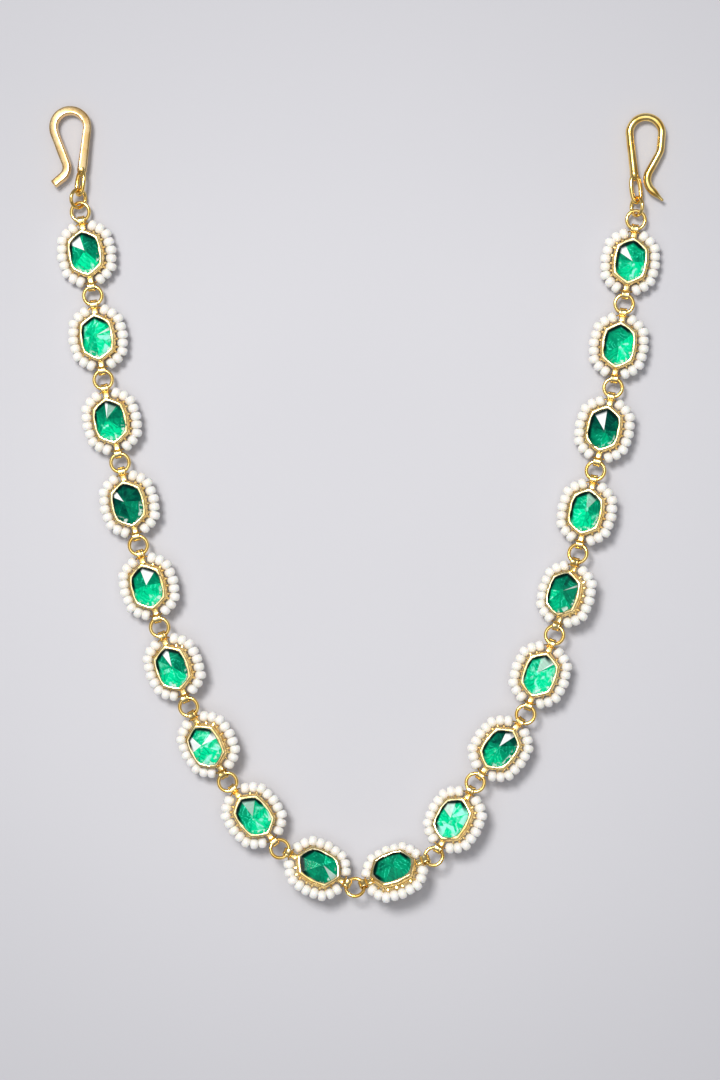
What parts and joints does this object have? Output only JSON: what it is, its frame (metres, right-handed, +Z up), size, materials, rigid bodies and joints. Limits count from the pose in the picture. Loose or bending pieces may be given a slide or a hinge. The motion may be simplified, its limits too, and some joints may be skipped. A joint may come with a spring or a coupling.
{
  "type": "matha patti",
  "caption": "Hair jewellery chain of pointed green foil-backed stones in gold collets edged with seed pearls, joined by jump rings, with a wire hook at each end.",
  "frame": {"origin": "inside of the left hook's crown, where that hook sits on its peg", "axes": "+Z up, +X from the left hook towards the right hook seen from the front, the stones face -Y"},
  "size_m": [0.1185, 0.0075, 0.153],
  "materials": {
    "gold": "polished gold plate, slightly uneven by hand",
    "green_stone": "faceted green stone over crinkled foil",
    "pearl": "satin pearl, cream white"
  },
  "bodies": {
    "root": {"hook_left": "gold", "hook_right": "gold", "end_links_left": "gold", "end_links_right": "gold", "pearl_border_left": "pearl", "pearl_border_right": "pearl", "setting_01": "gold", "setting_02": "gold", "setting_03": "gold", "setting_04": "gold", "setting_05": "gold", "setting_06": "gold", "setting_07": "gold", "setting_08": "gold", "setting_09": "gold", "setting_10": "gold", "setting_11": "gold", "setting_12": "gold", "setting_13": "gold", "setting_14": "gold", "setting_15": "gold", "setting_16": "gold", "setting_17": "gold", "setting_18": "gold", "stone_01": "green_stone", "stone_02": "green_stone", "stone_03": "green_stone", "stone_04": "green_stone", "stone_05": "green_stone", "stone_06": "green_stone", "stone_07": "green_stone", "stone_08": "green_stone", "stone_09": "green_stone", "stone_10": "green_stone", "stone_11": "green_stone", "stone_12": "green_stone", "stone_13": "green_stone", "stone_14": "green_stone", "stone_15": "green_stone", "stone_16": "green_stone", "stone_17": "green_stone", "stone_18": "green_stone", "link_01": "gold", "link_02": "gold", "link_03": "gold", "link_04": "gold", "link_05": "gold", "link_06": "gold", "link_07": "gold", "link_08": "gold", "link_09": "gold", "link_10": "gold", "link_11": "gold", "link_12": "gold", "link_13": "gold", "link_14": "gold", "link_15": "gold", "link_16": "gold", "link_17": "gold"}
  },
  "joints": []
}
